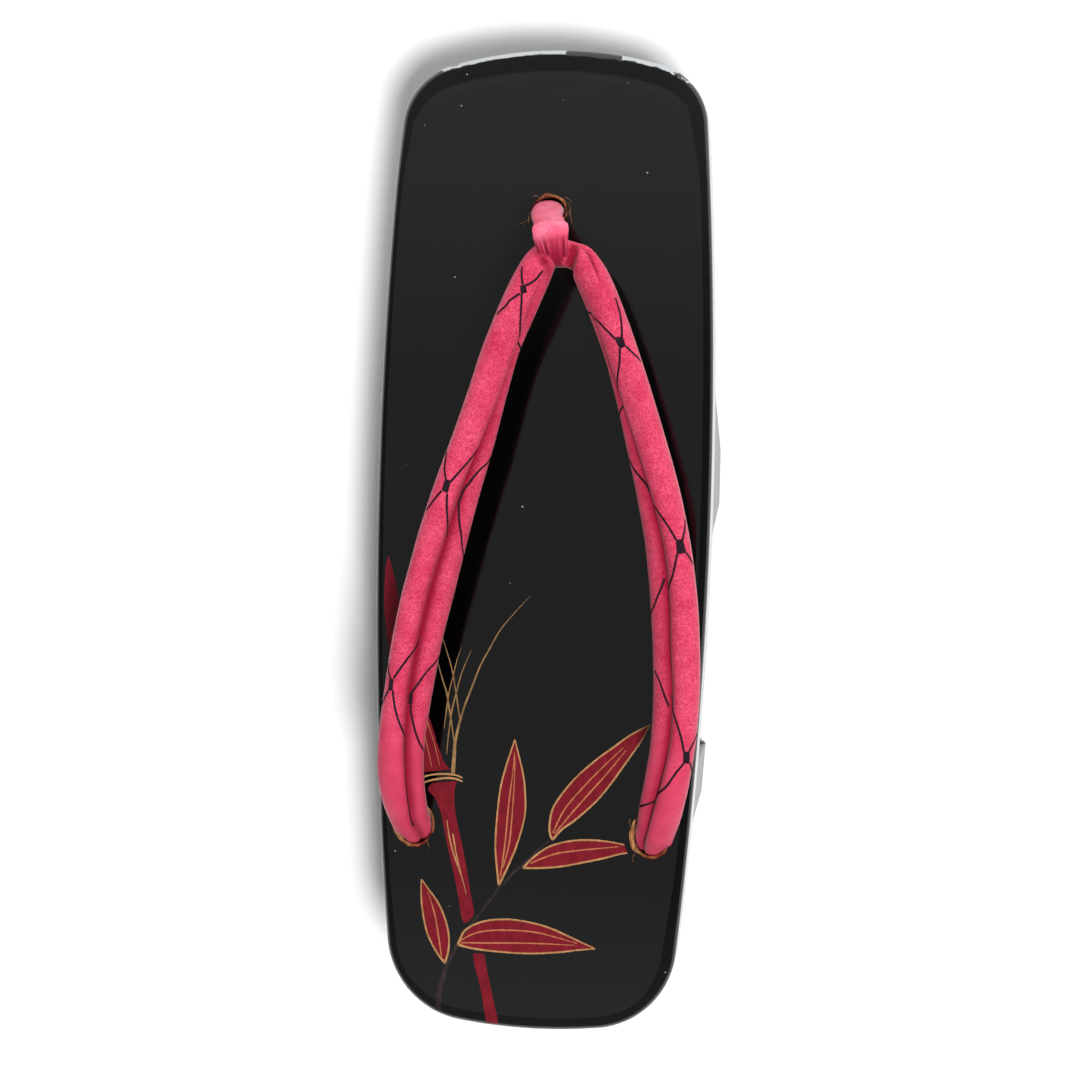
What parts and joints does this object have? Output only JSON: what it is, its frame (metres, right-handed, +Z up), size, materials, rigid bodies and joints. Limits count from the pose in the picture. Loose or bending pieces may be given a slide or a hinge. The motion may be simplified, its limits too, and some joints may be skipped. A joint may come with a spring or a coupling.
{
  "type": "geta sandal",
  "caption": "Wooden sandal with a flat deck on raised cross teeth, a V-shaped padded thong and a toe loop through its deck.",
  "frame": {"origin": "middle of the bounding box on the floor that the teeth stand on", "axes": "+X across the sandal to the wearer's right, +Y along it towards the toe, +Z up from the floor"},
  "size_m": [0.079, 0.23, 0.0639],
  "materials": {
    "lacquered_wood": "black lacquer, mirror gloss",
    "strap_cloth": "fine mottled pink cloth over soft stuffing",
    "loop_cloth": "soft plain pink cloth, gathered",
    "hemp_cord": "matt twisted cord"
  },
  "bodies": {
    "root": {"dai": "lacquered_wood", "hanao": "strap_cloth", "maetsubo": "loop_cloth", "front_knot": "hemp_cord", "rear_knot_left": "hemp_cord", "rear_knot_right": "hemp_cord"}
  },
  "joints": []
}
